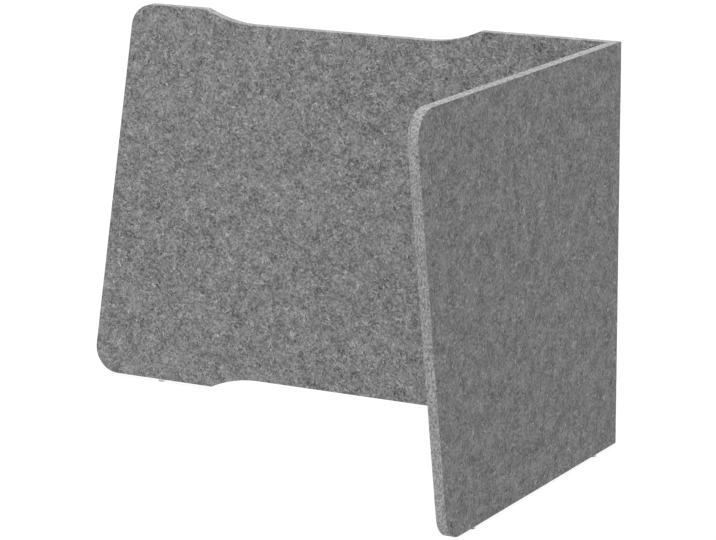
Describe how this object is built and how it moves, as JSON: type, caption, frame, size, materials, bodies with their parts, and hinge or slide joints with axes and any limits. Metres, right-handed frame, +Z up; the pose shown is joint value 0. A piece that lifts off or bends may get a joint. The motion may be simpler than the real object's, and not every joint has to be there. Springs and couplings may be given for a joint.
{
  "type": "acoustic divider screen",
  "caption": "Desk-top acoustic screen of grey felt board, folded into an L on a living hinge, with slanted free ends, cable notches and clear bumper feet.",
  "frame": {"origin": "middle of the screen's bounding box, on the desk under the feet", "axes": "+Z up, +X along the back panel towards the folded corner, the wing reaches forward along -Y"},
  "size_m": [0.695, 0.48, 0.464],
  "materials": {
    "felt": "matte",
    "bumper": "satin",
    "adhesive": "satin"
  },
  "bodies": {
    "back": {"back_panel": "felt", "fold_skin": "felt", "bumper_back_end": "bumper", "adhesive_back_end": "adhesive", "bumper_back_corner": "bumper", "adhesive_back_corner": "adhesive"},
    "wing": {"wing_panel": "felt", "bumper_wing_corner": "bumper", "adhesive_wing_corner": "adhesive", "bumper_wing_end": "bumper", "adhesive_wing_end": "adhesive"}
  },
  "joints": [
    {"name": "wing_fold", "type": "hinge", "parent": "back", "child": "wing", "pos_m": [0.34554, 0.23805, 0.234], "axis": [0, 0, 1], "range_deg": [0, 90], "deforming": ["fold_skin"]}
  ]
}
